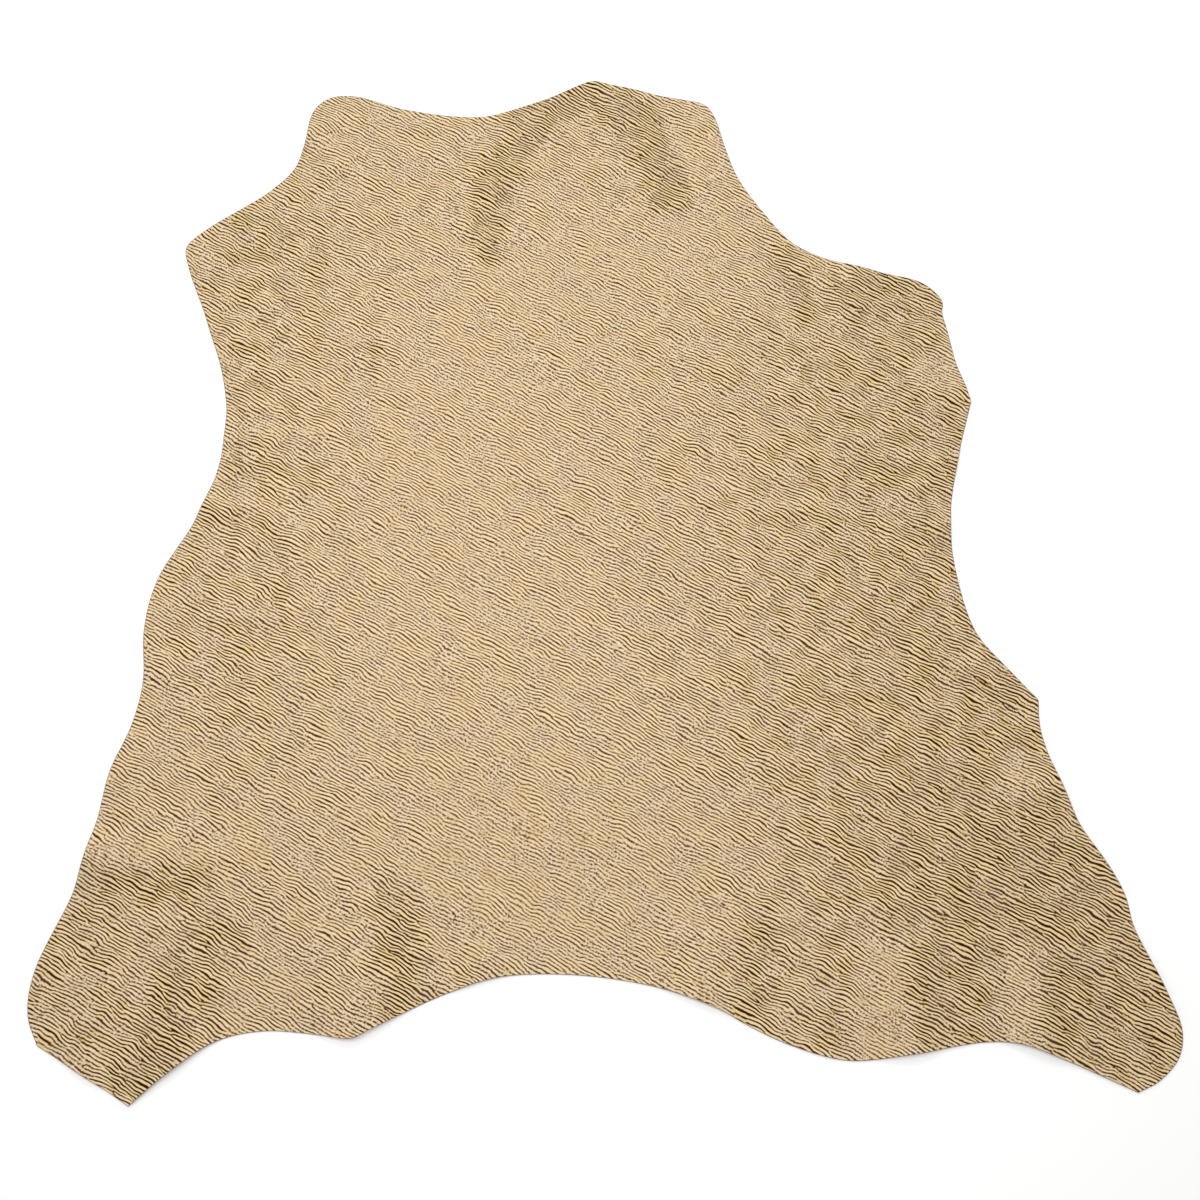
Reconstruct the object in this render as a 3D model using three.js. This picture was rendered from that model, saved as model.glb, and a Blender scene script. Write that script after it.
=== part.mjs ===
// A whole tanned goat skin, trimmed and lying flat, grain side up. Millimetres, +Z up, neck towards +Y.
// The skin is one cut sheet. It rests on its flesh side in the plane z = 0, and its edges rise in low
// folds where the leather has more length than the flat middle leaves it.
import * as THREE from 'three';

const THICKNESS = 1.2; // split and shaved garment leather
const HEART = { x: -20, y: -45 }; // every point of the cut can be seen from here
const LONGEST_EDGE = 14; // along the cut, between two points of the mesh
const RINGS = [0.42, 0.58, 0.69, 0.77, 0.84, 0.9, 0.955, 1]; // shares of the way from the heart to the cut

// The cut, clockwise from the neck. A sharp point ends one smooth stretch and starts the next.
const CUT = [
  { at: 'neck, middle of the nape', x: -9, y: 432 },
  { x: 9, y: 426.5 },
  { x: 41, y: 420 },
  { x: 85, y: 410.5 },
  { at: 'neck, right corner', x: 93, y: 405 },
  { x: 99.5, y: 393 },
  { x: 108, y: 364 },
  { x: 118, y: 337 },
  { x: 139, y: 304 },
  { x: 165, y: 273 },
  { x: 199, y: 256 },
  { x: 240, y: 245.5 },
  { x: 276, y: 235 },
  { at: 'right fore leg, outer corner', x: 291.5, y: 218 },
  { at: 'small nick', x: 290.7, y: 208 },
  { x: 294.5, y: 189 },
  { x: 300, y: 160 },
  { at: 'right fore leg, lower point', x: 310, y: 126, sharp: true },
  { x: 292.5, y: 62 },
  { at: 'right waist', x: 285.5, y: 12 },
  { x: 290, y: -34 },
  { x: 298.5, y: -67 },
  { x: 309, y: -85.5 },
  { at: 'right flank', x: 347, y: -127, sharp: true },
  { x: 346.8, y: -150 },
  { x: 358, y: -190 },
  { x: 372, y: -225 },
  { x: 393, y: -258.5 },
  { x: 402.5, y: -280 },
  { x: 407, y: -304 },
  { x: 426.5, y: -350 },
  { x: 436, y: -379 },
  { at: 'right hind leg, heel', x: 431.5, y: -398 },
  { x: 415, y: -414.5 },
  { at: 'right hind leg, point', x: 398.5, y: -422.5, sharp: true },
  { x: 341, y: -397.5 },
  { x: 314, y: -388 },
  { x: 286, y: -387 },
  { x: 232, y: -395 },
  { at: 'right thigh', x: 184, y: -400 },
  { x: 140, y: -389 },
  { x: 108.5, y: -375 },
  { x: 86, y: -362.5 },
  { x: 43, y: -348 },
  { at: 'rump', x: -20, y: -338.5 },
  { x: -81, y: -340 },
  { x: -120, y: -352 },
  { x: -176, y: -377 },
  { at: 'left thigh', x: -190, y: -383.5 },
  { x: -215, y: -381.5 },
  { x: -258, y: -379 },
  { x: -293, y: -386.5 },
  { x: -327, y: -409 },
  { at: 'left hind leg, point', x: -354.5, y: -432, sharp: true },
  { x: -391, y: -410 },
  { at: 'left hind leg, heel', x: -427, y: -389.5, sharp: true },
  { x: -435.2, y: -370 },
  { x: -433, y: -333 },
  { x: -411, y: -278 },
  { x: -397, y: -221 },
  { x: -390.5, y: -184 },
  { x: -376, y: -146 },
  { at: 'left flank', x: -369.5, y: -108 },
  { x: -372.5, y: -66 },
  { x: -365, y: -28 },
  { x: -338, y: 22 },
  { x: -323.5, y: 61 },
  { at: 'left waist', x: -318, y: 102 },
  { x: -322, y: 142 },
  { x: -339, y: 196 },
  { x: -360, y: 250 },
  { at: 'left fore leg, point', x: -363.5, y: 269 },
  { x: -350, y: 284 },
  { x: -313, y: 308 },
  { x: -275, y: 343 },
  { x: -266, y: 368 },
  { x: -258.5, y: 402 },
  { at: 'neck, left corner', x: -246, y: 415.5 },
  { x: -225, y: 418 },
  { x: -175, y: 403.5 },
  { x: -117, y: 396.5 },
  { x: -88, y: 400 },
  { x: -52, y: 412 },
  { x: -18, y: 430 },
];

// The low folds. Each is highest over the point where it leaves the cut, and dies out at its inner end.
const FOLDS = [
  { at: 'nape, left', cut: [-62, 410], end: [-118, 230], half: 46, height: 4.2 },
  { at: 'nape, right', cut: [14, 427], end: [34, 262], half: 40, height: 3.6 },
  { at: 'neck, right corner', cut: [98, 396], end: [96, 300], half: 30, height: 2.4 },
  { at: 'neck, left corner', cut: [-262, 392], end: [-196, 316], half: 34, height: 2.2 },
  { at: 'left shoulder', cut: [-322, 302], end: [-250, 262], half: 28, height: 2.4 },
  { at: 'left fore leg', cut: [-337, 190], end: [-240, 186], half: 24, height: 2.6 },
  { at: 'left waist, upper', cut: [-318, 97], end: [-215, 97], half: 22, height: 3.0 },
  { at: 'left waist, lower', cut: [-332, 38], end: [-235, 16], half: 24, height: 3.0 },
  { at: 'left flank', cut: [-370, -96], end: [-290, -104], half: 28, height: 2.2 },
  { at: 'left thigh, side', cut: [-404, -250], end: [-236, -243], half: 27, height: 5.0 },
  { at: 'left hind leg, heel', cut: [-436, -352], end: [-350, -300], half: 26, height: 2.8 },
  { at: 'left hind leg, foot', cut: [-392, -410], end: [-362, -330], half: 26, height: 2.6 },
  { at: 'left hind leg, inner', cut: [-322, -406], end: [-300, -300], half: 34, height: 4.4 },
  { at: 'left thigh', cut: [-182, -382], end: [-188, -250], half: 46, height: 5.4 },
  { at: 'rump, left', cut: [-96, -344], end: [-104, -262], half: 30, height: 2.6 },
  { at: 'rump, right', cut: [72, -357], end: [92, -262], half: 40, height: 3.8 },
  { at: 'right thigh', cut: [231, -396], end: [222, -290], half: 32, height: 4.4 },
  { at: 'right hind leg, inner', cut: [326, -392], end: [330, -270], half: 34, height: 4.6 },
  { at: 'right hind leg, outer', cut: [421, -336], end: [372, -300], half: 30, height: 2.6 },
  { at: 'right thigh, side', cut: [361, -198], end: [296, -204], half: 28, height: 4.2 },
  { at: 'right flank', cut: [318, -96], end: [250, -96], half: 28, height: 3.4 },
  { at: 'right waist', cut: [285, 16], end: [190, 22], half: 22, height: 2.4 },
  { at: 'right side', cut: [294, 72], end: [236, 72], half: 20, height: 2.0 },
  { at: 'right fore leg, lower', cut: [306, 140], end: [240, 138], half: 22, height: 2.6 },
  { at: 'right fore leg, upper', cut: [216, 250], end: [206, 176], half: 28, height: 3.0 },
];

// One smooth run of the cut, with the spline's parts divided so that no edge is long.
function pointsAlong(run) {
  const spline = new THREE.CatmullRomCurve3(run, false, 'centripetal');
  const parts = run.length - 1;
  const points = [];
  for (let i = 0; i < parts; i++) {
    const steps = Math.ceil(run[i].distanceTo(run[i + 1]) / LONGEST_EDGE);
    for (let s = 0; s < steps; s++) points.push(spline.getPoint((i + s / steps) / parts));
  }
  return points;
}

// The whole cut: one run from each sharp point to the next, all the way round, anticlockwise.
function cutPoints() {
  const round = CUT.map(({ x, y }) => new THREE.Vector3(x, y, 0));
  const sharp = CUT.flatMap((point, i) => (point.sharp ? [i] : []));
  const points = sharp.flatMap((from, n) => {
    const to = sharp[(n + 1) % sharp.length] + (n + 1 === sharp.length ? CUT.length : 0);
    const run = Array.from({ length: to - from + 1 }, (_, k) => round[(from + k) % CUT.length]);
    return pointsAlong(run);
  });
  return points.reverse();
}

// 1 at 0, falling smoothly to 0 at 1 and flat beyond.
const fade = (t) => (1 - Math.min(Math.abs(t), 1) ** 2) ** 2;

// How far the flesh side stands off the plane at a place: the sum of the folds there, 0 in the flat middle.
function lift(x, y) {
  return FOLDS.reduce((sum, { cut, end, half, height }) => {
    const [dx, dy] = [end[0] - cut[0], end[1] - cut[1]];
    const length = Math.hypot(dx, dy);
    const along = ((x - cut[0]) * dx + (y - cut[1]) * dy) / length;
    const across = ((x - cut[0]) * dy - (y - cut[1]) * dx) / length;
    return sum + height * fade(Math.max(along, 0) / length) * fade(across / half);
  }, 0);
}

// The sheet: a fan round the heart, then rings out to the cut, once above and once below, and a rim.
function sheetGeometry() {
  const cut = cutPoints();
  const count = cut.length;
  const places = [[HEART.x, HEART.y]];
  for (const share of RINGS) {
    for (const p of cut) {
      places.push([THREE.MathUtils.lerp(HEART.x, p.x, share), THREE.MathUtils.lerp(HEART.y, p.y, share)]);
    }
  }
  const under = places.length;
  const position = [THICKNESS, 0].flatMap((rise) => places.flatMap(([x, y]) => [x, y, lift(x, y) + rise]));

  const index = [];
  const face = (a, b, c) => index.push(a, b, c, a + under, c + under, b + under);
  const at = (ring, k) => 1 + ring * count + (k % count);
  const apart = (a, b) => Math.hypot(places[a][0] - places[b][0], places[a][1] - places[b][1]);
  for (let k = 0; k < count; k++) {
    face(0, at(0, k), at(0, k + 1));
    for (let ring = 1; ring < RINGS.length; ring++) {
      const [a, b, c, d] = [at(ring - 1, k), at(ring, k), at(ring, k + 1), at(ring - 1, k + 1)];
      if (apart(a, c) < apart(b, d)) {
        face(a, b, c);
        face(a, c, d);
      } else {
        face(a, b, d);
        face(b, c, d);
      }
    }
    const [a, b] = [at(RINGS.length - 1, k), at(RINGS.length - 1, k + 1)];
    index.push(a, a + under, b + under, a, b + under, b);
  }

  const geometry = new THREE.BufferGeometry();
  geometry.setAttribute('position', new THREE.Float32BufferAttribute(position, 3));
  geometry.setIndex(index);
  geometry.computeVertexNormals();
  return geometry;
}

const leather = new THREE.MeshStandardMaterial({ color: '#c1a886', roughness: 0.55, metalness: 0 });
const hide = new THREE.Mesh(sheetGeometry(), leather);
hide.name = 'hide';

const skin = new THREE.Group();
skin.add(hide);

export default skin;
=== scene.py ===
"""A whole goat skin, tanned and printed on its grain side, trimmed and lying flat, grain side up."""
import math

import bpy
import numpy as np
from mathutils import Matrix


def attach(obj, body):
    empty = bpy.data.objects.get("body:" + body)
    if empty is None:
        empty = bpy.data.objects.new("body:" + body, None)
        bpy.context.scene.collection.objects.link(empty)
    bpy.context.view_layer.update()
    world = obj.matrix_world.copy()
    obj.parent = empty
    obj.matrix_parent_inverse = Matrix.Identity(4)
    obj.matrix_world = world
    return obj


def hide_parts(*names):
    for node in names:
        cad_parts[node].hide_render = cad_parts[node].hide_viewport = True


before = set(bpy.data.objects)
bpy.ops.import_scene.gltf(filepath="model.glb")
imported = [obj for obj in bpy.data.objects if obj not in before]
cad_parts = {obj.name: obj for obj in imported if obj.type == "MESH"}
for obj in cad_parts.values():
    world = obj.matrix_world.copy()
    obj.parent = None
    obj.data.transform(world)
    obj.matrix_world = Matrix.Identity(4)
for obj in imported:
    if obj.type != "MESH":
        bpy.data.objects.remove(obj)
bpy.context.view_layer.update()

MM = 0.001


# ---- The table ------------------------------------------------------------------------------------
# A plain white table top, far wider than the skin, of matt laminate. It isn't part of the object.
# The skin's flat middle lies on it.
TABLE_SIDE = 8.0
TABLE_DROP = 0.02 * MM  # below the flesh side, so that the two never share a plane
TABLE_WHITE = "#fbfbfa"


def linear(colour):
    """An sRGB hex colour as linear red, green, blue and an alpha of 1."""
    srgb = [int(colour[i:i + 2], 16) / 255 for i in (1, 3, 5)]
    return [s / 12.92 if s <= 0.04045 else ((s + 0.055) / 1.055) ** 2.4 for s in srgb] + [1.0]


def add(tree, kind, inputs=(), **settings):
    """Adds a node with its settings. Inputs are pairs of a socket and the value or output that it takes."""
    node = tree.nodes.new("ShaderNode" + kind)
    for name, value in settings.items():
        setattr(node, name, value)
    for socket, value in inputs:
        if isinstance(value, bpy.types.NodeSocket):
            tree.links.new(value, node.inputs[socket])
        else:
            node.inputs[socket].default_value = value
    return node


def new_material(name):
    """A material that holds only its output, and its node tree."""
    material = bpy.data.materials.new(name)
    material.use_nodes = True
    material.node_tree.nodes.clear()
    return material, material.node_tree


def table_laminate():
    """Matt white laminate: even, with no pattern, so that it only throws light back at the skin."""
    material, tree = new_material("matt_white_laminate")
    board = add(tree, "BsdfPrincipled", [("Base Color", linear(TABLE_WHITE)), ("Roughness", 0.9)])
    add(tree, "OutputMaterial", [("Surface", board.outputs[0])])
    return material


def table_top():
    """One square in the plane of the table."""
    s = TABLE_SIDE / 2
    mesh = bpy.data.meshes.new("table_top")
    corners = [(-s, -s, -TABLE_DROP), (s, -s, -TABLE_DROP), (s, s, -TABLE_DROP), (-s, s, -TABLE_DROP)]
    mesh.from_pydata(corners, [], [(0, 1, 2, 3)])
    mesh.materials.append(table_laminate())
    return bpy.data.objects.new("table_top", mesh)


table = table_top()
bpy.context.scene.collection.objects.link(table)


# ---- The studio light ------------------------------------------------------------------------------------
# A long soft box overhead to the left and a wide one beyond the neck, both mirrored by the print's gloss,
# and a white room that fills the shadows.
ROOM_WHITE = "#ffffff"
ROOM_STRENGTH = 0.66
SOFT_BOXES = [
    {"name": "soft_box_left", "at": (-0.17, 0.05, 1.15), "aim": (-0.03, -0.04, 0),
     "size": (0.45, 0.9), "watts": 7.1},
    {"name": "soft_box_neck", "at": (0.02, 1.35, 1.15), "aim": (0, 0.1, 0),
     "size": (1.1, 0.5), "watts": 7.5},
]


def point_at(thing, place, target):
    """Puts a lamp or camera at a place with its -Z axis through a target."""
    away = [t - p for p, t in zip(place, target)]
    flat = math.hypot(away[0], away[1])
    thing.location = place
    thing.rotation_euler = (math.atan2(flat, -away[2]), 0, math.atan2(-away[0], away[1]))


def soft_box(name, at, aim, size, watts):
    """An oblong lamp of this width and length."""
    lamp = bpy.data.lights.new(name, "AREA")
    lamp.shape = "RECTANGLE"
    lamp.size, lamp.size_y = size
    lamp.energy = watts
    box = bpy.data.objects.new(name, lamp)
    bpy.context.scene.collection.objects.link(box)
    point_at(box, at, aim)


for row in SOFT_BOXES:
    soft_box(**row)

room = bpy.data.worlds.new("white_room")
room.use_nodes = True
room.node_tree.nodes.clear()
walls = add(room.node_tree, "Background", [("Color", linear(ROOM_WHITE)), ("Strength", ROOM_STRENGTH)])
add(room.node_tree, "OutputWorld", [("Surface", walls.outputs[0])])
bpy.context.scene.world = room
bpy.context.scene.view_settings.view_transform = "Standard"


# ---- The view --------------------------------------------------------------------------------------------
# A stand camera a metre off, almost overhead, leaning in from the rump end.
VIEW_TARGET = (-3.4 * MM, -45.2 * MM, 0)
VIEW_DISTANCE = 1.0
VIEW_ELEVATION = math.radians(77.28)
FILM_WIDTH = 36.0
LENS = 36.82

camera = bpy.data.objects.new("camera", bpy.data.cameras.new("camera"))
bpy.context.scene.collection.objects.link(camera)
camera.data.sensor_width = FILM_WIDTH
camera.data.lens = LENS
camera.data.clip_start = 0.05
camera.data.clip_end = 50
reach = VIEW_DISTANCE * math.cos(VIEW_ELEVATION)
rise = VIEW_DISTANCE * math.sin(VIEW_ELEVATION)
point_at(camera, (VIEW_TARGET[0], VIEW_TARGET[1] - reach, VIEW_TARGET[2] + rise), VIEW_TARGET)
bpy.context.scene.camera = camera


# ---- The skin --------------------------------------------------------------------------------------------
# One goat skin, split and shaved to 1.2 mm, cut along its trimmed outline with a knife. It lies on its
# flesh side. The middle is flat, and the edges rise in low folds where the leather has length to spare.
THICKNESS = 1.2
HEART = (-20, -45)  # every point of the cut can be seen from here
CUT_STEP = 4.4
TOP_RINGS = 88
UNDER_RINGS = 22
CROWDING = 0.25  # how much closer the rings lie near the cut

# The cut in millimetres, clockwise from the neck. A sharp point ends one smooth stretch and starts the next.
CUT = [
    {"at": "neck, middle of the nape", "x": -9, "y": 432},
    {"x": 9, "y": 426.5},
    {"x": 41, "y": 420},
    {"x": 85, "y": 410.5},
    {"at": "neck, right corner", "x": 93, "y": 405},
    {"x": 99.5, "y": 393},
    {"x": 108, "y": 364},
    {"x": 118, "y": 337},
    {"x": 139, "y": 304},
    {"x": 165, "y": 273},
    {"x": 199, "y": 256},
    {"x": 240, "y": 245.5},
    {"x": 276, "y": 235},
    {"at": "right fore leg, outer corner", "x": 291.5, "y": 218},
    {"at": "small nick", "x": 290.7, "y": 208},
    {"x": 294.5, "y": 189},
    {"x": 300, "y": 160},
    {"at": "right fore leg, lower point", "x": 310, "y": 126, "sharp": True},
    {"x": 292.5, "y": 62},
    {"at": "right waist", "x": 285.5, "y": 12},
    {"x": 290, "y": -34},
    {"x": 298.5, "y": -67},
    {"x": 309, "y": -85.5},
    {"at": "right flank", "x": 347, "y": -127, "sharp": True},
    {"x": 346.8, "y": -150},
    {"x": 358, "y": -190},
    {"x": 372, "y": -225},
    {"x": 393, "y": -258.5},
    {"x": 402.5, "y": -280},
    {"x": 407, "y": -304},
    {"x": 426.5, "y": -350},
    {"x": 436, "y": -379},
    {"at": "right hind leg, heel", "x": 431.5, "y": -398},
    {"x": 415, "y": -414.5},
    {"at": "right hind leg, point", "x": 398.5, "y": -422.5, "sharp": True},
    {"x": 341, "y": -397.5},
    {"x": 314, "y": -388},
    {"x": 286, "y": -387},
    {"x": 232, "y": -395},
    {"at": "right thigh", "x": 184, "y": -400},
    {"x": 140, "y": -389},
    {"x": 108.5, "y": -375},
    {"x": 86, "y": -362.5},
    {"x": 43, "y": -348},
    {"at": "rump", "x": -20, "y": -338.5},
    {"x": -81, "y": -340},
    {"x": -120, "y": -352},
    {"x": -176, "y": -377},
    {"at": "left thigh", "x": -190, "y": -383.5},
    {"x": -215, "y": -381.5},
    {"x": -258, "y": -379},
    {"x": -293, "y": -386.5},
    {"x": -327, "y": -409},
    {"at": "left hind leg, point", "x": -354.5, "y": -432, "sharp": True},
    {"x": -391, "y": -410},
    {"at": "left hind leg, heel", "x": -427, "y": -389.5, "sharp": True},
    {"x": -435.2, "y": -370},
    {"x": -433, "y": -333},
    {"x": -411, "y": -278},
    {"x": -397, "y": -221},
    {"x": -390.5, "y": -184},
    {"x": -376, "y": -146},
    {"at": "left flank", "x": -369.5, "y": -108},
    {"x": -372.5, "y": -66},
    {"x": -365, "y": -28},
    {"x": -338, "y": 22},
    {"x": -323.5, "y": 61},
    {"at": "left waist", "x": -318, "y": 102},
    {"x": -322, "y": 142},
    {"x": -339, "y": 196},
    {"x": -360, "y": 250},
    {"at": "left fore leg, point", "x": -363.5, "y": 269},
    {"x": -350, "y": 284},
    {"x": -313, "y": 308},
    {"x": -275, "y": 343},
    {"x": -266, "y": 368},
    {"x": -258.5, "y": 402},
    {"at": "neck, left corner", "x": -246, "y": 415.5},
    {"x": -225, "y": 418},
    {"x": -175, "y": 403.5},
    {"x": -117, "y": 396.5},
    {"x": -88, "y": 400},
    {"x": -52, "y": 412},
    {"x": -18, "y": 430},
]

# The low folds. Each is highest over the point where it leaves the cut, and dies out at its inner end.
FOLDS = [
    {"at": "nape, left", "cut": (-62, 410), "end": (-118, 230), "half": 46, "height": 4.2},
    {"at": "nape, right", "cut": (14, 427), "end": (34, 262), "half": 40, "height": 3.6},
    {"at": "neck, right corner", "cut": (98, 396), "end": (96, 300), "half": 30, "height": 2.4},
    {"at": "neck, left corner", "cut": (-262, 392), "end": (-196, 316), "half": 34, "height": 2.2},
    {"at": "left shoulder", "cut": (-322, 302), "end": (-250, 262), "half": 28, "height": 2.4},
    {"at": "left fore leg", "cut": (-337, 190), "end": (-240, 186), "half": 24, "height": 2.6},
    {"at": "left waist, upper", "cut": (-318, 97), "end": (-215, 97), "half": 22, "height": 3.0},
    {"at": "left waist, lower", "cut": (-332, 38), "end": (-235, 16), "half": 24, "height": 3.0},
    {"at": "left flank", "cut": (-370, -96), "end": (-290, -104), "half": 28, "height": 2.2},
    {"at": "left thigh, side", "cut": (-404, -250), "end": (-236, -243), "half": 27, "height": 5.0},
    {"at": "left hind leg, heel", "cut": (-436, -352), "end": (-350, -300), "half": 26, "height": 2.8},
    {"at": "left hind leg, foot", "cut": (-392, -410), "end": (-362, -330), "half": 26, "height": 2.6},
    {"at": "left hind leg, inner", "cut": (-322, -406), "end": (-300, -300), "half": 34, "height": 4.4},
    {"at": "left thigh", "cut": (-182, -382), "end": (-188, -250), "half": 46, "height": 5.4},
    {"at": "rump, left", "cut": (-96, -344), "end": (-104, -262), "half": 30, "height": 2.6},
    {"at": "rump, right", "cut": (72, -357), "end": (92, -262), "half": 40, "height": 3.8},
    {"at": "right thigh", "cut": (231, -396), "end": (222, -290), "half": 32, "height": 4.4},
    {"at": "right hind leg, inner", "cut": (326, -392), "end": (330, -270), "half": 34, "height": 4.6},
    {"at": "right hind leg, outer", "cut": (421, -336), "end": (372, -300), "half": 30, "height": 2.6},
    {"at": "right thigh, side", "cut": (361, -198), "end": (296, -204), "half": 28, "height": 4.2},
    {"at": "right flank", "cut": (318, -96), "end": (250, -96), "half": 28, "height": 3.4},
    {"at": "right waist", "cut": (285, 16), "end": (190, 22), "half": 22, "height": 2.4},
    {"at": "right side", "cut": (294, 72), "end": (236, 72), "half": 20, "height": 2.0},
    {"at": "right fore leg, lower", "cut": (306, 140), "end": (240, 138), "half": 22, "height": 2.6},
    {"at": "right fore leg, upper", "cut": (216, 250), "end": (206, 176), "half": 28, "height": 3.0},
]

# Soft creases left from hanging and folding the skin, as ridges or, below zero, as troughs.
CREASES = [
    {"at": "neck, left of the spine", "start": (-92, 392), "end": (-146, 262), "half": 11, "height": 0.55},
    {"at": "neck, middle", "start": (-30, 404), "end": (-66, 296), "half": 10, "height": 0.5},
    {"at": "neck, right", "start": (48, 392), "end": (92, 316), "half": 12, "height": 0.5},
    {"at": "left thigh, long", "start": (-392, -254), "end": (-244, -250), "half": 8, "height": 0.7},
    {"at": "left thigh, under it", "start": (-384, -282), "end": (-300, -288), "half": 9, "height": -0.3},
    {"at": "left waist", "start": (-310, 104), "end": (-226, 101), "half": 8, "height": 0.5},
    {"at": "left waist, lower", "start": (-322, 48), "end": (-248, 24), "half": 8, "height": 0.5},
    {"at": "right waist, long", "start": (284, 34), "end": (176, 26), "half": 9, "height": 0.45},
    {"at": "right side", "start": (286, 88), "end": (222, 84), "half": 8, "height": 0.4},
    {"at": "right fore leg", "start": (296, 158), "end": (236, 150), "half": 9, "height": 0.45},
    {"at": "right shoulder", "start": (262, 232), "end": (196, 196), "half": 11, "height": 0.5},
    {"at": "left thigh, short", "start": (-150, -362), "end": (-142, -300), "half": 10, "height": 0.6},
    {"at": "right thigh, short", "start": (118, -374), "end": (106, -318), "half": 10, "height": 0.5},
    {"at": "right hind leg, across", "start": (396, -300), "end": (330, -262), "half": 12, "height": 0.6},
    {"at": "left hind leg, across", "start": (-420, -330), "end": (-352, -352), "half": 11, "height": 0.6},
    {"at": "right flank", "start": (330, -118), "end": (272, -128), "half": 10, "height": 0.6},
]

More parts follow.
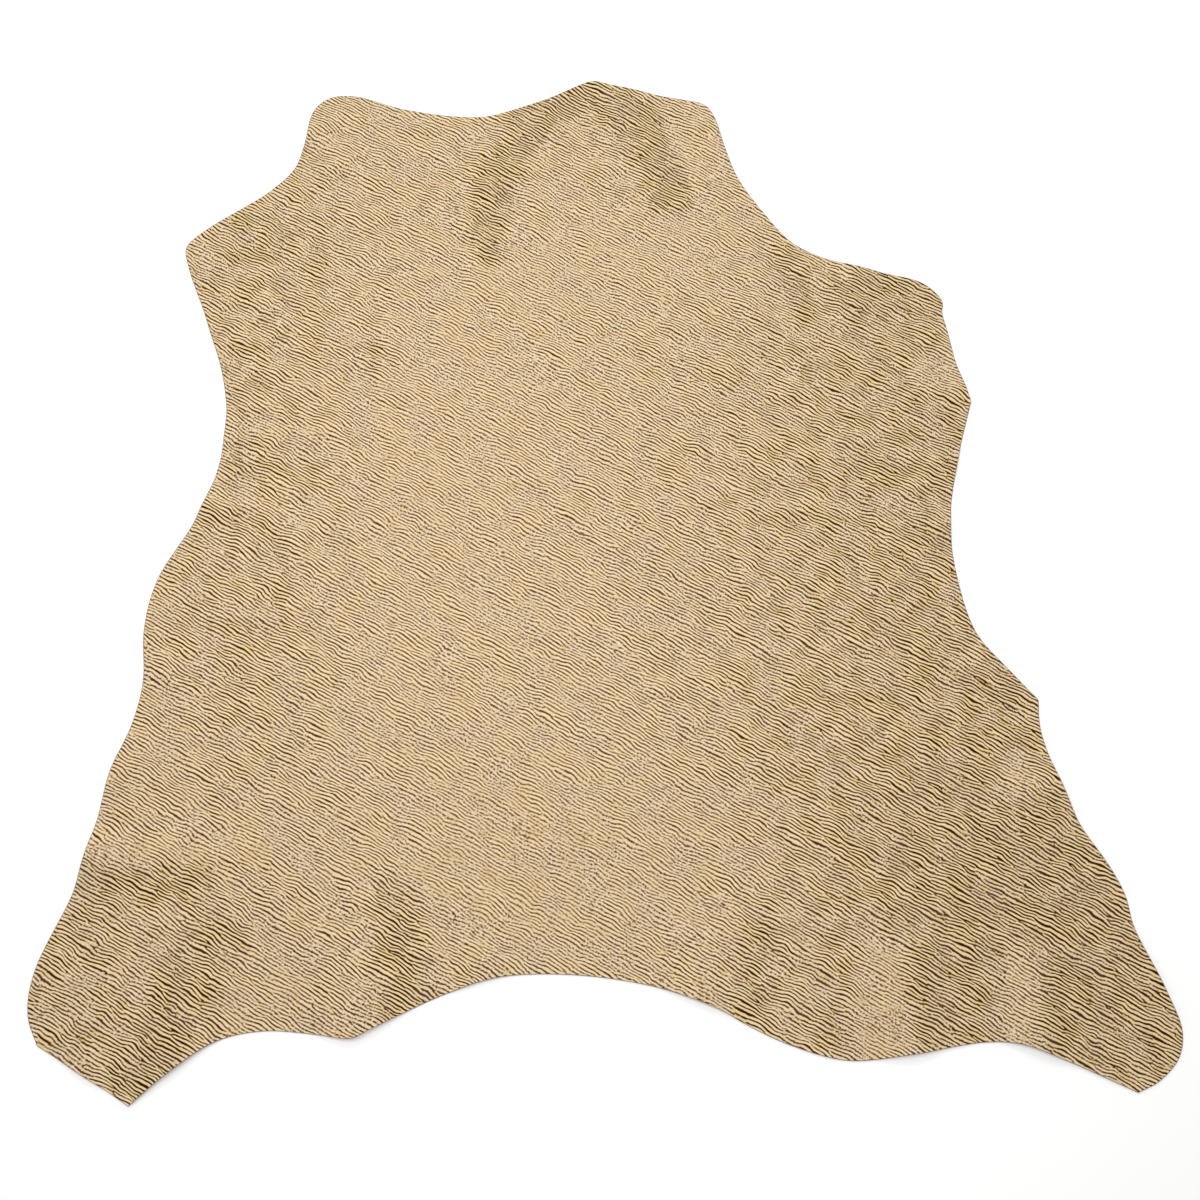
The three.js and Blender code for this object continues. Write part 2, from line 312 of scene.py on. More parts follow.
# Painted sheen and shade on the print, as strokes along a line or, where a row starts and ends near one
# place, round patches. Below zero a stroke pales and thins the lines as painted sheen; above zero it makes
# them heavier and darker as painted shade. EVEN_COAT is the print's own even coat.
EVEN_COAT = 1.25
LEAST_COAT_AND_SHADING = 0.6
MOST_COAT_AND_SHADING = 3.2
PAINTED_SHEEN_AND_SHADE_STROKES = [
    {"at": "left of the spine, wide", "start": (-120, 130), "end": (-110, -230), "half": 190, "coat_and_painted_shading": -0.4},
    {"at": "neck, wide", "start": (-60, 270), "end": (70, 280), "half": 130, "coat_and_painted_shading": -0.3},
    {"at": "right side, wide", "start": (330, 90), "end": (330, -180), "half": 320, "coat_and_painted_shading": 0.95},
    {"at": "left shoulder, wide", "start": (-310, 290), "end": (-300, 130), "half": 120, "coat_and_painted_shading": 0.45},
    {"at": "rump, wide", "start": (-60, -262), "end": (60, -270), "half": 130, "coat_and_painted_shading": -0.45},
    {"at": "left hind leg, wide", "start": (-410, -320), "end": (-370, -400), "half": 100, "coat_and_painted_shading": 0.5},
    {"at": "right hind leg, wide", "start": (300, -330), "end": (400, -340), "half": 200, "coat_and_painted_shading": 0.75},
    {"at": "nape, left arm", "start": (-20, 428), "end": (-66, 390), "half": 27, "coat_and_painted_shading": 2.4},
    {"at": "nape, left arm", "start": (-66, 390), "end": (-96, 330), "half": 27, "coat_and_painted_shading": 2.4},
    {"at": "nape, left arm", "start": (-96, 330), "end": (-102, 268), "half": 25, "coat_and_painted_shading": 2.0},
    {"at": "nape, right arm", "start": (0, 420), "end": (28, 388), "half": 29, "coat_and_painted_shading": 2.4},
    {"at": "nape, right arm", "start": (28, 388), "end": (58, 318), "half": 30, "coat_and_painted_shading": 2.6},
    {"at": "nape, between", "start": (-46, 350), "end": (16, 322), "half": 12, "coat_and_painted_shading": 0.30},
    {"at": "neck, right corner", "start": (76, 372), "end": (80, 366), "half": 26, "coat_and_painted_shading": -0.40},
    {"at": "neck, right", "start": (60, 282), "end": (80, 262), "half": 34, "coat_and_painted_shading": -0.25},
    {"at": "neck, left corner", "start": (-250, 376), "end": (-236, 372), "half": 22, "coat_and_painted_shading": -0.35},
    {"at": "right shoulder", "start": (148, 280), "end": (172, 212), "half": 20, "coat_and_painted_shading": 1.00},
    {"at": "right shoulder, edge", "start": (196, 258), "end": (210, 250), "half": 22, "coat_and_painted_shading": -0.50},
    {"at": "right fore leg", "start": (214, 222), "end": (286, 232), "half": 36, "coat_and_painted_shading": 1.00},
    {"at": "right fore leg, patch", "start": (296, 158), "end": (282, 152), "half": 30, "coat_and_painted_shading": -1.55},
    {"at": "right side, line", "start": (280, 34), "end": (190, 30), "half": 14, "coat_and_painted_shading": -0.35},
    {"at": "right side, above it", "start": (278, 66), "end": (206, 62), "half": 18, "coat_and_painted_shading": 0.35},
    {"at": "left shoulder patch", "start": (-196, 170), "end": (-192, 164), "half": 24, "coat_and_painted_shading": 1.20},
    {"at": "left shoulder", "start": (-310, 280), "end": (-256, 262), "half": 36, "coat_and_painted_shading": 0.35},
    {"at": "left fore leg, tip", "start": (-352, 262), "end": (-346, 256), "half": 20, "coat_and_painted_shading": -0.50},
    {"at": "left waist, line", "start": (-312, 104), "end": (-232, 98), "half": 14, "coat_and_painted_shading": -0.50},
    {"at": "left waist, lower line", "start": (-322, 50), "end": (-246, 22), "half": 13, "coat_and_painted_shading": -0.50},
    {"at": "left waist, between", "start": (-318, 76), "end": (-226, 58), "half": 14, "coat_and_painted_shading": 0.40},
    {"at": "left waist, below", "start": (-336, 28), "end": (-280, 10), "half": 14, "coat_and_painted_shading": 0.50},
    {"at": "left side, wide", "start": (-290, 20), "end": (-290, -110), "half": 110, "coat_and_painted_shading": 0.40},
    {"at": "left flank patch", "start": (-344, -168), "end": (-338, -160), "half": 30, "coat_and_painted_shading": -0.50},
    {"at": "left thigh, line", "start": (-396, -247), "end": (-262, -243), "half": 11, "coat_and_painted_shading": -0.75},
    {"at": "left thigh, patch", "start": (-278, -240), "end": (-262, -238), "half": 28, "coat_and_painted_shading": -0.35},
    {"at": "left thigh, below", "start": (-392, -270), "end": (-316, -272), "half": 22, "coat_and_painted_shading": 1.35},
    {"at": "left heel, dark", "start": (-420, -300), "end": (-396, -330), "half": 14, "coat_and_painted_shading": 0.50},
    {"at": "left heel, pale", "start": (-404, -352), "end": (-390, -346), "half": 26, "coat_and_painted_shading": -0.50},
    {"at": "left hind leg, pale", "start": (-366, -318), "end": (-350, -350), "half": 16, "coat_and_painted_shading": -0.50},
    {"at": "left hind leg, dark", "start": (-344, -410), "end": (-300, -312), "half": 34, "coat_and_painted_shading": 1.70},
    {"at": "left hind leg, inner", "start": (-262, -372), "end": (-246, -350), "half": 34, "coat_and_painted_shading": -0.35},
    {"at": "left thigh, dark", "start": (-146, -362), "end": (-162, -286), "half": 30, "coat_and_painted_shading": 2.05},
    {"at": "rump, left", "start": (-100, -342), "end": (-92, -336), "half": 20, "coat_and_painted_shading": 0.50},
    {"at": "rump, right", "start": (112, -368), "end": (120, -300), "half": 22, "coat_and_painted_shading": 1.35},
    {"at": "right thigh, dark", "start": (160, -394), "end": (168, -376), "half": 24, "coat_and_painted_shading": 0.60},
    {"at": "right thigh, pale", "start": (208, -392), "end": (216, -326), "half": 36, "coat_and_painted_shading": -1.6},
    {"at": "right thigh, beside it", "start": (240, -376), "end": (244, -330), "half": 20, "coat_and_painted_shading": 1.00},
    {"at": "right hind leg, pale", "start": (312, -386), "end": (320, -326), "half": 32, "coat_and_painted_shading": -1.6},
    {"at": "right hind leg, dark", "start": (346, -384), "end": (352, -330), "half": 22, "coat_and_painted_shading": 0.45},
    {"at": "right flank patch", "start": (322, -186), "end": (334, -192), "half": 28, "coat_and_painted_shading": -1.55},
    {"at": "right flank, dark", "start": (312, -112), "end": (330, -124), "half": 26, "coat_and_painted_shading": 0.45},
]

# Slack in the leather: low swells this far apart, this high, that only lift, and leave the table softly.
SWELLS = {"count": 14, "shortest": 52, "longest": 120, "height": 0.34, "soft_start": 0.1, "seed": 5}


def centripetal(run):
    """The smooth curve through a run of points, every CUT_STEP or less. Each span is a cubic whose end
    slopes come from its neighbours, weighted by the square roots of the distances between them."""
    run = np.vstack([2 * run[0] - run[1], run, 2 * run[-1] - run[-2]])
    before, start, end, after = run[:-3], run[1:-2], run[2:-1], run[3:]
    steps = [start - before, end - start, after - end]
    gap = [np.sqrt(np.linalg.norm(step, axis=1))[:, None] for step in steps]
    left = (start - before) / gap[0] - (end - before) / (gap[0] + gap[1]) + (end - start) / gap[1]
    right = (end - start) / gap[1] - (after - start) / (gap[1] + gap[2]) + (after - end) / gap[2]
    left, right = left * gap[1], right * gap[1]
    spans = []
    for a, b, slope_a, slope_b in zip(start, end, left, right):
        count = math.ceil(np.linalg.norm(b - a) / CUT_STEP)
        t = (np.arange(count) / count)[:, None]
        hill = 2 * t**3 - 3 * t**2
        spans.append(a * (1 + hill) - b * hill + slope_a * (t**3 - 2 * t**2 + t) + slope_b * (t**3 - t**2))
    return np.vstack(spans)


def cut_line():
    """The whole cut, anticlockwise: smooth runs that meet at the sharp points."""
    points = np.array([(row["x"], row["y"]) for row in CUT], float)
    sharp = [i for i, row in enumerate(CUT) if row.get("sharp")]
    ends = sharp[1:] + [sharp[0] + len(CUT)]
    runs = [centripetal(points[np.arange(a, b + 1) % len(CUT)]) for a, b in zip(sharp, ends)]
    return np.vstack(runs)[::-1]


def fade(t):
    """1 at 0, falling smoothly to 0 at 1 and beyond: the square of 1 - t squared."""
    return (1 - np.minimum(np.abs(t), 1) ** 2) ** 2


def along_and_across(x, y, start, end):
    """The distances along and across a line, measured from its start, and the line's length."""
    (ax, ay), (bx, by) = start, end
    length = math.hypot(bx - ax, by - ay)
    along = ((x - ax) * (bx - ax) + (y - ay) * (by - ay)) / length
    across = ((x - ax) * (by - ay) - (y - ay) * (bx - ax)) / length
    return along, across, length


def fold_lift(x, y):
    """The sum of the folds: each fades across its width, and along its length from the cut inwards."""
    total = np.zeros_like(x)
    for fold in FOLDS:
        along, across, length = along_and_across(x, y, fold["cut"], fold["end"])
        total += fold["height"] * fade(np.maximum(along, 0) / length) * fade(across / fold["half"])
    return total


def crease_lift(x, y):
    """The sum of the creases: each fades across its width, and from the middle of its line to its ends."""
    total = np.zeros_like(x)
    for crease in CREASES:
        along, across, length = along_and_across(x, y, crease["start"], crease["end"])
        total += crease["height"] * fade(2 * along / length - 1) * fade(across / crease["half"])
    return total


def swell_lift(x, y):
    """Slack: a sum of sine waves of mixed lengths and directions. Where the sum w is above 0 the leather
    lifts by w squared / (w + the soft start), and elsewhere it doesn't."""
    draw = np.random.RandomState(SWELLS["seed"])
    total = np.zeros_like(x)
    for _ in range(SWELLS["count"]):
        pitch = draw.uniform(SWELLS["shortest"], SWELLS["longest"])
        heading, start = draw.uniform(0, 2 * math.pi, 2)
        total += np.sin(2 * math.pi * (x * math.cos(heading) + y * math.sin(heading)) / pitch + start)
    total *= SWELLS["height"] / math.sqrt(SWELLS["count"] / 2)
    return np.maximum(total, 0) ** 2 / (np.maximum(total, 0) + SWELLS["soft_start"])


def lift(x, y):
    """How far the flesh side stands off the table, in millimetres."""
    return np.maximum(fold_lift(x, y) + crease_lift(x, y) + swell_lift(x, y), 0)


def ink_coat_and_painted_shading(x, y):
    """The even coat of ink, 1 for a full coat, plus the strokes of painted sheen and shade, each fading with
    the distance from its own line."""
    total = np.full_like(x, EVEN_COAT)
    for stroke in PAINTED_SHEEN_AND_SHADE_STROKES:
        (ax, ay), (bx, by) = stroke["start"], stroke["end"]
        length2 = max((bx - ax) ** 2 + (by - ay) ** 2, 1e-9)
        share = np.clip(((x - ax) * (bx - ax) + (y - ay) * (by - ay)) / length2, 0, 1)
        away = np.hypot(x - ax - share * (bx - ax), y - ay - share * (by - ay))
        total += stroke["coat_and_painted_shading"] * fade(away / stroke["half"])
    return np.clip(total, LEAST_COAT_AND_SHADING, MOST_COAT_AND_SHADING)


def ring_shares(rings):
    """Shares of the way from the heart to the cut, closer together near the cut."""
    even = np.arange(1, rings + 1) / rings
    return even * (1 + CROWDING - CROWDING * even)


def face_grid(rows, columns, first):
    """Quads between rows of vertices that close into rings. The first row's first vertex has this index."""
    row = first + columns * np.arange(rows - 1)[:, None]
    here = np.arange(columns)[None, :]
    after = (here + 1) % columns
    quads = np.stack([row + here, row + columns + here, row + columns + after, row + after], -1)
    return quads.reshape(-1, 4)


# How the knife leaves the edge, from the print down to the flesh: how far in from the cut, and the share of
# the thickness. The finish is pressed down over the first tenths of a millimetre.
EDGE = [(0.5, 1.0), (0.22, 0.965), (0.06, 0.86), (0.0, 0.66), (0.02, 0.34), (0.1, 0.1), (0.28, 0.0)]

# The flat layout that colours can be baked on, in millimetres: the grain side at full size, the edge's rows
# laid out round it, and the flesh side, which is plain, small in the empty corner right of the neck, as seen
# from below.
LAYOUT = {
    "name": "OFBake", "side": 890.0, "edge_row": 0.8, "flesh_scale": (-0.2, 0.2), "flesh_at": (351, 351),
}


def laid_out(flat, cut, inward, edge_first, edge_rows, corners, finish):
    """Where each face corner lies on the layout, from 0 to 1. The face's finish picks the place: as it is
    for the grain, moved into the corner for the flesh, and stepped outwards from the cut for the edge."""
    flesh = flat * LAYOUT["flesh_scale"] + LAYOUT["flesh_at"]
    steps = EDGE[0][0] - LAYOUT["edge_row"] * np.arange(edge_rows)
    edge = flat.copy()
    rows = cut + inward * steps[:, None, None]
    edge[edge_first:edge_first + edge_rows * len(cut)] = rows.reshape(-1, 2)
    return np.stack([flat, flesh, edge])[finish, corners] / LAYOUT["side"] + 0.5


def skin_mesh():
    """The sheet as three grids that share their borders: rings from the heart out to the cut on top, the
    edge's profile carried round the cut, and rings back to the heart below."""
    cut = cut_line()
    count = len(cut)
    ahead = np.roll(cut, -1, axis=0) - np.roll(cut, 1, axis=0)
    inward = np.stack([-ahead[:, 1], ahead[:, 0]], -1) / np.linalg.norm(ahead, axis=1)[:, None]
    heart = np.array(HEART, float)

    def ring(share, inset):
        border = cut + inward * inset
        return heart + (border - heart) * share

    top = [ring(s, EDGE[0][0]) for s in ring_shares(TOP_RINGS)]
    side = [ring(1, inset) for inset, _ in EDGE[1:-1]]
    under = [ring(s, EDGE[-1][0]) for s in ring_shares(UNDER_RINGS)][::-1]
    flat = np.vstack([heart[None, :]] + top + side + under + [heart[None, :]])
    through = np.concatenate(
        [np.ones(1 + len(top) * count)]
        + [np.full(count, share) for _, share in EDGE[1:-1]]
        + [np.zeros(len(under) * count + 1)]
    )
    z = lift(flat[:, 0], flat[:, 1]) + through * THICKNESS
    vertices = np.column_stack([flat, z]) * MM

    rows = len(top) + len(side) + len(under)
    quads = face_grid(rows, count, 1)
    here = np.arange(count)
    after = (here + 1) % count
    last = 1 + (rows - 1) * count
    crown = np.column_stack([np.zeros(count, int), 1 + here, 1 + after])
    sole = np.column_stack([np.full(count, len(vertices) - 1), last + after, last + here])

    mesh = bpy.data.meshes.new("goat_skin")
    corners = np.concatenate([crown.ravel(), quads.ravel(), sole.ravel()])
    sizes = np.concatenate([np.full(count, 3), np.full(len(quads), 4), np.full(count, 3)])
    mesh.vertices.add(len(vertices))
    mesh.vertices.foreach_set("co", vertices.ravel())
    mesh.loops.add(len(corners))
    mesh.loops.foreach_set("vertex_index", corners)
    mesh.polygons.add(len(sizes))
    mesh.polygons.foreach_set("loop_start", np.concatenate([[0], np.cumsum(sizes)[:-1]]))
    side_rows = len(side) + 1
    finish = np.concatenate([
        np.zeros(count + (len(top) - 1) * count, int),
        np.full(side_rows * count, 2),
        np.full((len(under) - 1) * count + count, 1),
    ])
    mesh.polygons.foreach_set("material_index", finish)
    mesh.polygons.foreach_set("use_smooth", np.ones(len(sizes), bool))
    # Each vertex keeps the even coat with the painted sheen and shade of the strokes.
    coat_and_painted_shading = mesh.attributes.new("ink_coat_and_painted_shading", "FLOAT", "POINT")
    coat_and_painted_shading.data.foreach_set("value", ink_coat_and_painted_shading(flat[:, 0], flat[:, 1]))
    edge_first = 1 + (len(top) - 1) * count
    places = laid_out(flat, cut, inward, edge_first, len(side) + 2, corners, np.repeat(finish, sizes))
    mesh.uv_layers.new(name=LAYOUT["name"]).uv.foreach_set("vector", places.ravel().astype(np.float32))
    mesh.update(calc_edges=True)
    mesh.validate()
    return mesh


# ---- The print -------------------------------------------------------------------------------------------
# Pearl-finished grain leather, roller-printed with fine dark brown ripples over pale gold. The lines fork,
# taper and break up where the ink skips. The whole is satin, and the ink lies a little raised on the ground.
# The lines' weight and the ground's yellow also carry the painted sheen and shade kept on the vertices.
REPEAT = 42.0  # the roller's pattern repeats on a centred square of this side, in millimetres
RIPPLES = {
    "across": 7.3, "up": 13.3,  # turns to the repeat of the middle wave
    "spread_along": 2.6, "spread_across": 2.7, "cut_off": 1.5, "across_range": (-4, 20), "up_range": (0, 26),
    "evenness": 0.28, "seed": 22,
}
STRETCH = {"size": 24.0, "reach": 8.0}  # the leather gives by this reach under the roller, in patches
PATCHES = {"size": 24.0, "low": 0.38, "high": 0.66}  # where the lines break up and the ground is greyer
UNEVEN = {"size": 15.0, "low": 0.32, "high": 0.68, "least": 0.68, "most": 1.40}  # clouds in the coat
SKIPS = {"size": 1.35, "least": 1.5, "most": 3.6}
FINISH_GLOSS = 0.12  # the finish is soft and porous, so it mirrors less than a solid resin of its IOR
PEARL = "#f8ecd0"  # the mica in the finish mirrors golden
# The coat here includes the painted sheen and shade of the strokes.
GAP = {"light": 0.48, "heavy": 0.06}  # how far the ground outweighs the lines, by the coat
# Some lines are cut deeper into the roller, which tells more the heavier the coat and its painted shade.
# These waves are coarser than the ripples and beat against each other, so the deep lines change places along
# the way.
DEEP_LINES = {"turns": [(4, 6), (3, 7)], "light": 0.05, "heavy": 0.34, "light_coat": 0.8, "heavy_coat": 3.0}
# The ground is tinted yellower the heavier the coat and its painted shade, so paler under the painted sheen,
# and most in some patches. The ground is greyer where the lines break up.
YELLOWING = {"tint": "#e9dba4", "thin_coat": 0.5, "thick_coat": 2.4, "share": 0.56}
STAIN_PATCHES = {"size": 12.0, "low": 0.5, "high": 0.72, "share": 0.22}
GREY = {"tint": "#a8959c", "share": 0.10}
WEAR = {"size": 60, "smoothest": 0.42, "range": 0.2}  # handling makes the finish smoother in some places
PORES = {"size": 1.1, "depth": 0.08, "strength": 0.35}  # goat's pores, in millimetres
INK_RELIEF = {"depth": 0.10, "strength": 0.6}
FINISH_IOR = 1.5  # a clear resin
INK_SPAN = 2.0  # ink height, either way, that the stops below cover
INK_STOPS = [
    (-1.80, "#361800"),
    (-0.90, "#3e1c00"),
    (-0.50, "#563204"),
    (-0.25, "#7c5818"),
    (0.00, "#a88a54"),
    (0.15, "#c6ad84"),
    (0.40, "#d0bb9b"),
    (1.00, "#dcc9ac"),
    (2.00, "#e6d5ba"),
]


def wave_angle(tree, place, h, k, start):
    """The phase of one plane wave with h and k whole turns to a repeat."""
    turn = 2 * math.pi / REPEAT
    turns = add(tree, "VectorMath", [(0, place), (1, (turn * h, turn * k, 0))], operation="DOT_PRODUCT")
    return add(tree, "Math", [(0, turns.outputs["Value"]), (1, start)], operation="ADD").outputs[0]


def stretched_place(tree, place):
    """The place moved a little in smooth patches, so that no two repeats are quite alike."""
    give = add(
        tree, "TexNoise", [("Vector", place), ("Scale", 1 / STRETCH["size"]), ("Detail", 2.0)]
    ).outputs["Color"]
    centred = add(tree, "VectorMath", [(0, give), (1, (0.5, 0.5, 0.5))], operation="SUBTRACT").outputs[0]
    reach = (STRETCH["reach"],) * 3
    return add(
        tree, "VectorMath", [(0, centred), (1, reach), (2, place)], operation="MULTIPLY_ADD"
    ).outputs[0]


def ripples(tree, place):
    """Ink height, mostly from -1.5 for the middle of a line to 1.5: plane waves near one heading, each with
    whole turns to the repeat, summed as sines and cosines and evened out by part of their strength."""
    draw = np.random.RandomState(RIPPLES["seed"])
    mean = np.array([RIPPLES["across"], RIPPLES["up"]])
    heading = mean / np.linalg.norm(mean)
    side = np.array([heading[1], -heading[0]])
    sine, cosine, power = 0.0, 0.0, 0.0
    for h in range(*RIPPLES["across_range"]):
        for k in range(*RIPPLES["up_range"]):
            if (h + k) % 2:
                continue
            start = draw.uniform(0, 2 * math.pi)
            off = np.array([h, k]) - mean
            far = (off @ side / RIPPLES["spread_along"]) ** 2
            far += (off @ heading / RIPPLES["spread_across"]) ** 2
            if far >= RIPPLES["cut_off"] ** 2:
                continue
            weight = math.exp(-far / 2)
            power += weight**2
            angle = wave_angle(tree, place, h, k, start)
            for_sine = add(tree, "Math", [(0, angle)], operation="SINE").outputs[0]
            for_cosine = add(tree, "Math", [(0, angle)], operation="COSINE").outputs[0]
            sine = add(
                tree, "Math", [(0, for_sine), (1, weight), (2, sine)], operation="MULTIPLY_ADD"
            ).outputs[0]
            cosine = add(
                tree, "Math", [(0, for_cosine), (1, weight), (2, cosine)], operation="MULTIPLY_ADD"
            ).outputs[0]
    strength = add(tree, "CombineXYZ", [("X", sine), ("Y", cosine)])
    strength = add(tree, "VectorMath", [(0, strength.outputs[0])], operation="LENGTH").outputs["Value"]
    evened = add(tree, "Math", [(0, strength), (1, 1 / math.sqrt(power))], operation="MULTIPLY").outputs[0]
    evened = add(tree, "Math", [(0, evened), (1, RIPPLES["evenness"])], operation="POWER").outputs[0]
    crest = add(tree, "Math", [(0, sine), (1, strength)], operation="DIVIDE").outputs[0]
    return add(tree, "Math", [(0, crest), (1, evened)], operation="MULTIPLY").outputs[0]


def drift(tree, place, size, low, high):
    """Soft noise of this size in millimetres, stretched to run from 0 at one share to 1 at another."""
    cloud = add(tree, "TexNoise", [("Vector", place), ("Scale", 1 / size), ("Detail", 1.0)]).outputs["Fac"]
    return add(
        tree, "MapRange", [("Value", cloud), ("From Min", low), ("From Max", high)],
        interpolation_type="SMOOTHSTEP",
    ).outputs[0]


def tinted(tree, colour, patches, amount, tint, blend="MIX"):
    """The colour with a tint laid over it in patches."""
    share = add(tree, "Math", [(0, patches), (1, amount)], operation="MULTIPLY").outputs[0]
    return add(
        tree, "Mix", [(0, share), (6, colour), (7, linear(tint))], data_type="RGBA", blend_type=blend
    ).outputs[2]


def printed_grain():
    """Goat grain under a pearl finish, a clear low-gloss resin with mica, so the sheen is broad
    and golden. The pores and the ink's edges break it up close to."""
    material, tree = new_material("printed_pearl_goat_grain")
    where = add(tree, "TexCoord").outputs["Object"]
    place = add(tree, "VectorMath", [(0, where), ("Scale", 1 / MM)], operation="SCALE").outputs[0]
    moved = stretched_place(tree, place)
    lines = ripples(tree, moved)
    patches = drift(tree, place, PATCHES["size"], PATCHES["low"], PATCHES["high"])
    depth = add(
        tree, "MapRange", [("Value", patches), ("To Min", SKIPS["least"]), ("To Max", SKIPS["most"])]
    ).outputs[0]
    skips = add(
        tree, "TexNoise", [("Vector", place), ("Scale", 1 / SKIPS["size"]), ("Detail", 0.0)]
    ).outputs["Fac"]
    skips = add(tree, "Math", [(0, skips), (1, 0.5)], operation="SUBTRACT").outputs[0]
    skips = add(tree, "Math", [(0, skips), (1, depth)], operation="MULTIPLY").outputs[0]
    # The coat with its painted sheen and shade, read from the vertices, then varied by random clouds in the
    # coat.
    coat_and_painted_shading = add(tree, "Attribute", attribute_name="ink_coat_and_painted_shading").outputs["Fac"]
    clouds = drift(tree, place, UNEVEN["size"], UNEVEN["low"], UNEVEN["high"])
    clouds = add(
        tree, "MapRange", [("Value", clouds), ("To Min", UNEVEN["least"]), ("To Max", UNEVEN["most"])]
    ).outputs[0]
    coat_and_painted_shading = add(tree, "Math", [(0, coat_and_painted_shading), (1, clouds)], operation="MULTIPLY").outputs[0]
    # The skips grow with the coat and its painted shade, and shrink under the painted sheen.
    skip_scale = add(tree, "Math", [(0, coat_and_painted_shading), (1, 0.5)], operation="POWER").outputs[0]
    skips = add(tree, "Math", [(0, skips), (1, skip_scale)], operation="MULTIPLY").outputs[0]
    gap = add(
        tree, "MapRange",
        [("Value", coat_and_painted_shading), ("From Min", LEAST_COAT_AND_SHADING), ("From Max", MOST_COAT_AND_SHADING),
         ("To Min", GAP["light"]), ("To Max", GAP["heavy"])],
    ).outputs[0]
    lines = add(tree, "Math", [(0, lines), (1, gap)], operation="ADD").outputs[0]
    deeper = add(
        tree, "MapRange",
        [("Value", coat_and_painted_shading), ("From Min", DEEP_LINES["light_coat"]), ("From Max", DEEP_LINES["heavy_coat"]),
         ("To Min", DEEP_LINES["light"]), ("To Max", DEEP_LINES["heavy"])],
    ).outputs[0]
    for h, k in DEEP_LINES["turns"]:
        angle = wave_angle(tree, moved, h, k, 0.0)
        wave = add(tree, "Math", [(0, angle)], operation="SINE").outputs[0]
        lines = add(tree, "Math", [(0, wave), (1, deeper), (2, lines)], operation="MULTIPLY_ADD").outputs[0]
    lines = add(tree, "Math", [(0, lines), (1, coat_and_painted_shading), (2, skips)], operation="MULTIPLY_ADD").outputs[0]
    ink = add(
        tree, "MapRange", [("Value", lines), ("From Min", -INK_SPAN), ("From Max", INK_SPAN)]
    ).outputs[0]

    ramp = add(tree, "ValToRGB", [("Fac", ink)])
    for _ in INK_STOPS[2:]:
        ramp.color_ramp.elements.new(0.5)
    for element, (height, colour) in zip(ramp.color_ramp.elements, INK_STOPS):
        element.position = (height + INK_SPAN) / (2 * INK_SPAN)
        element.color = linear(colour)
    # Painted shade yellows the ground with the coat; painted sheen leaves it paler.
    yellow_by_coat_and_shade = add(
        tree, "MapRange",
        [("Value", coat_and_painted_shading), ("From Min", YELLOWING["thin_coat"]), ("From Max", YELLOWING["thick_coat"]),
         ("To Max", YELLOWING["share"])],
    ).outputs[0]
    yellow = drift(tree, moved, STAIN_PATCHES["size"], STAIN_PATCHES["low"], STAIN_PATCHES["high"])
    yellow = add(
        tree, "Math", [(0, yellow), (1, STAIN_PATCHES["share"]), (2, yellow_by_coat_and_shade)], operation="MULTIPLY_ADD"
    ).outputs[0]
    colour = tinted(tree, ramp.outputs[0], yellow, 1.0, YELLOWING["tint"], "MULTIPLY")
    colour = tinted(tree, colour, patches, GREY["share"], GREY["tint"])

    pores = add(
        tree, "TexVoronoi", [("Vector", place), ("Scale", 1 / PORES["size"])], feature="DISTANCE_TO_EDGE"
    ).outputs["Distance"]
    wear = add(
        tree, "TexNoise", [("Vector", place), ("Scale", 1 / WEAR["size"]), ("Detail", 3.0)]
    ).outputs["Fac"]
    gloss = add(
        tree, "Math", [(0, wear), (1, WEAR["range"]), (2, WEAR["smoothest"])], operation="MULTIPLY_ADD"
    ).outputs[0]
    pore_bump = add(
        tree, "Bump",
        [("Height", pores), ("Strength", PORES["strength"]), ("Distance", PORES["depth"] * MM)],
    )
    ink_bump = add(
        tree, "Bump",
        [("Height", ink), ("Strength", INK_RELIEF["strength"]), ("Distance", INK_RELIEF["depth"] * MM),
         ("Normal", pore_bump.outputs[0])],
        invert=True,
    )
    skin = add(
        tree, "BsdfPrincipled",
        [("Base Color", colour), ("Roughness", gloss), ("IOR", FINISH_IOR),
         ("Specular IOR Level", FINISH_GLOSS), ("Specular Tint", linear(PEARL)),
         ("Normal", ink_bump.outputs[0])],
    )
    add(tree, "OutputMaterial", [("Surface", skin.outputs[0])])
    return material


# ---- The flesh side and the cut edge ---------------------------------------------------------------------
# The flesh side is left as it comes off the shaving drum, a short pale suede nap. The knife leaves the
# edge as bare pressed fibre, pinker than the nap, and its colour is darkened further as painted shade.
NAP_DARK = "#b79c80"
NAP_LIGHT = "#d8c3a8"
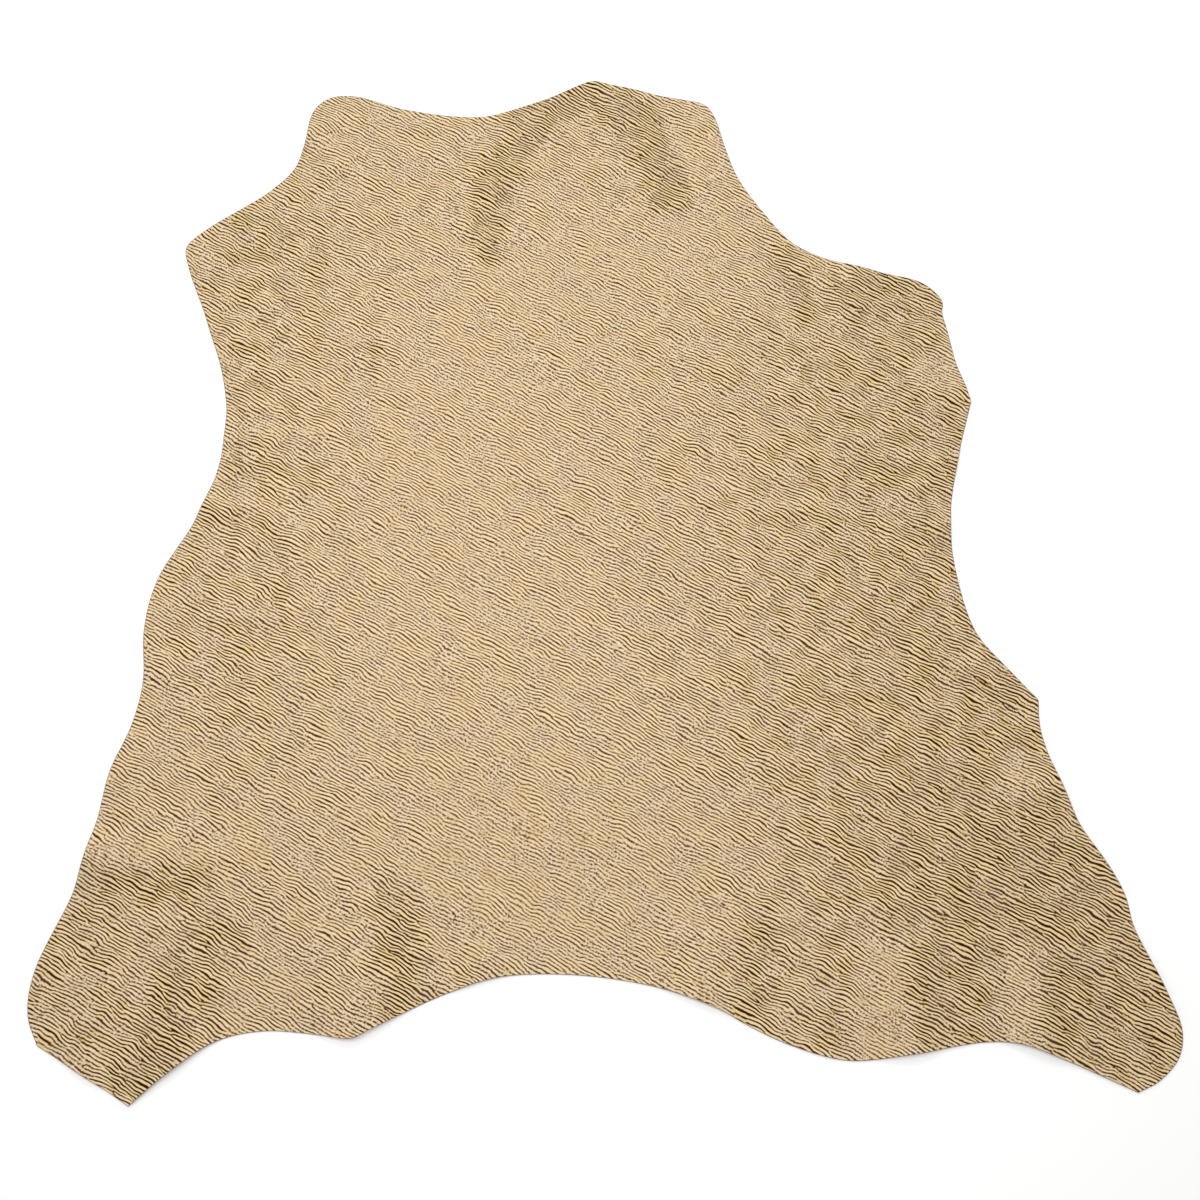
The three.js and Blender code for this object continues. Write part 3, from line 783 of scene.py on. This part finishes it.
# The edge's two tones are the fibre's grey-pink, darkened as painted shade on the cut edge.
EDGE_DARK = "#6a5650"
EDGE_LIGHT = "#97827c"
FIBRE_CLOUDS = {"size": 90, "share": 0.3, "low": 0.35, "high": 0.65}  # wide soft shades over the clumps
FIBRE_IOR = 1.45
NAP_BUMP = 0.8


def fibre(name, dark, light, size, roughness, depth):
    """Bare leather fibre: soft clumps of this size in millimetres in two colours, with next to no shine."""
    material, tree = new_material(name)
    where = add(tree, "TexCoord").outputs["Object"]
    clumps = add(
        tree, "TexNoise",
        [("Vector", where), ("Scale", 1 / (size * MM)), ("Detail", 6.0), ("Roughness", 0.65)],
    ).outputs["Fac"]
    clouds = add(
        tree, "TexNoise", [("Vector", where), ("Scale", 1 / (FIBRE_CLOUDS["size"] * MM)), ("Detail", 2.0)]
    ).outputs["Fac"]
    share = FIBRE_CLOUDS["share"]
    tone = add(tree, "Math", [(0, clumps), (1, 1 - share)], operation="MULTIPLY").outputs[0]
    tone = add(tree, "Math", [(0, clouds), (1, share), (2, tone)], operation="MULTIPLY_ADD").outputs[0]
    tone = add(
        tree, "MapRange",
        [("Value", tone), ("From Min", FIBRE_CLOUDS["low"]), ("From Max", FIBRE_CLOUDS["high"])],
    ).outputs[0]
    colour = add(
        tree, "Mix", [(0, tone), (6, linear(dark)), (7, linear(light))], data_type="RGBA"
    ).outputs[2]
    nap = add(tree, "Bump", [("Height", clumps), ("Strength", NAP_BUMP), ("Distance", depth * MM)])
    skin = add(
        tree, "BsdfPrincipled",
        [("Base Color", colour), ("Roughness", roughness), ("IOR", FIBRE_IOR), ("Normal", nap.outputs[0])],
    )
    add(tree, "OutputMaterial", [("Surface", skin.outputs[0])])
    return material


skin = bpy.data.objects.new("goat_skin", skin_mesh())
bpy.context.scene.collection.objects.link(skin)
skin.data.materials.append(printed_grain())
skin.data.materials.append(fibre("shaved_suede_flesh", NAP_DARK, NAP_LIGHT, 1.2, 0.95, 0.3))
skin.data.materials.append(fibre("cut_fibre_and_painted_shade", EDGE_DARK, EDGE_LIGHT, 0.6, 0.9, 0.1))

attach(skin, "root")
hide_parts("hide")
